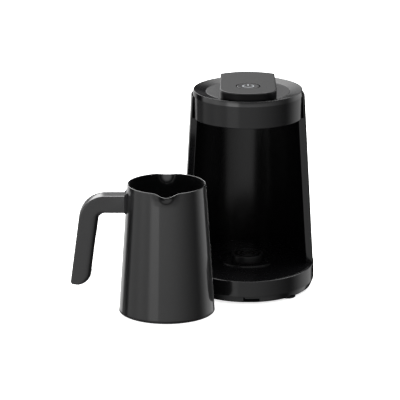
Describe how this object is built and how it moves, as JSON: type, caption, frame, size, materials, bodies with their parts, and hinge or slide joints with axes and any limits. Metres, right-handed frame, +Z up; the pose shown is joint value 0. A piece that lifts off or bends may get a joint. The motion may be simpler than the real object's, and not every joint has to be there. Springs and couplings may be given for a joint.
{
  "type": "electric turkish coffee maker",
  "caption": "Electric Turkish coffee maker: open-fronted machine with a domed-back bay, top power button and a tapered cordless jug with two spouts and an angled side handle standing beside it.",
  "frame": {"origin": "middle of the whole row, machine and jug together, on the surface they stand on", "axes": "+X to the right across the front, +Y from the front to the back, +Z up"},
  "size_m": [0.2376, 0.2134, 0.2053],
  "materials": {
    "satin_dark_grey": "satin, fine even grain",
    "gloss_black": "polished",
    "black_plastic": "matt moulded",
    "foot_rubber": "matt rubber",
    "screw_steel": "zinc plated",
    "contact_brass": "bright",
    "board_green": "solder mask",
    "relay_blue": "moulded",
    "winding_yellow": "tape",
    "wire_sleeve": "sleeved",
    "inlay_grey": "satin",
    "sensor_glass": "dark infrared window",
    "pod_grey": "fine satin",
    "sign_white": "translucent white",
    "jug_coat": "glossy dark metallic coat on steel",
    "bare_steel": "brushed",
    "cast_aluminium": "cast",
    "grip_plastic": "satin soft touch"
  },
  "bodies": {
    "machine": {"base_band": "satin_dark_grey", "base_plate": "black_plastic", "rubber_feet": "foot_rubber", "base_screws": "screw_steel", "cord_inlet_bush": "black_plastic", "bay_floor": "gloss_black", "connector_hub": "black_plastic", "hub_contacts": "contact_brass", "power_board": "board_green", "relay": "relay_blue", "transformer": "winding_yellow", "wiring_harness": "wire_sleeve", "rear_shell": "gloss_black", "bay_liner": "gloss_black", "edge_trim_left": "satin_dark_grey", "edge_trim_right": "satin_dark_grey", "cap_housing": "satin_dark_grey", "cap_plate": "black_plastic", "cap_screws": "screw_steel", "cap_inlay": "inlay_grey", "foam_sensor": "board_green", "sensor_window": "sensor_glass", "pod_housing": "gloss_black", "pod_lid": "pod_grey", "pod_screws": "screw_steel", "control_board": "board_green", "board_screws": "screw_steel", "tact_switch": "black_plastic", "buzzer": "black_plastic"},
    "power_button": {"power_button": "pod_grey", "power_sign": "sign_white", "switch_plunger": "winding_yellow"},
    "jug": {"jug_wall": "jug_coat", "jug_foot_ring": "black_plastic", "heating_plate": "bare_steel", "heat_spreader": "cast_aluminium", "heating_element": "bare_steel", "jug_thermostat": "winding_yellow", "jug_connector": "black_plastic", "jug_contacts": "contact_brass", "foot_ring_screws": "screw_steel", "handle_bracket": "black_plastic", "handle_grip": "grip_plastic", "handle_insert": "gloss_black", "handle_screws": "screw_steel"}
  },
  "joints": [
    {"name": "jug_lift", "type": "slide", "parent": "machine", "child": "jug", "axis": [0, 0, 1], "range_m": [0, 0.21]},
    {"name": "button_press", "type": "slide", "parent": "machine", "child": "power_button", "axis": [0, 0, -1], "range_m": [0, 0.001], "stiffness_N_per_m": 400, "springref_m": -0.001}
  ]
}
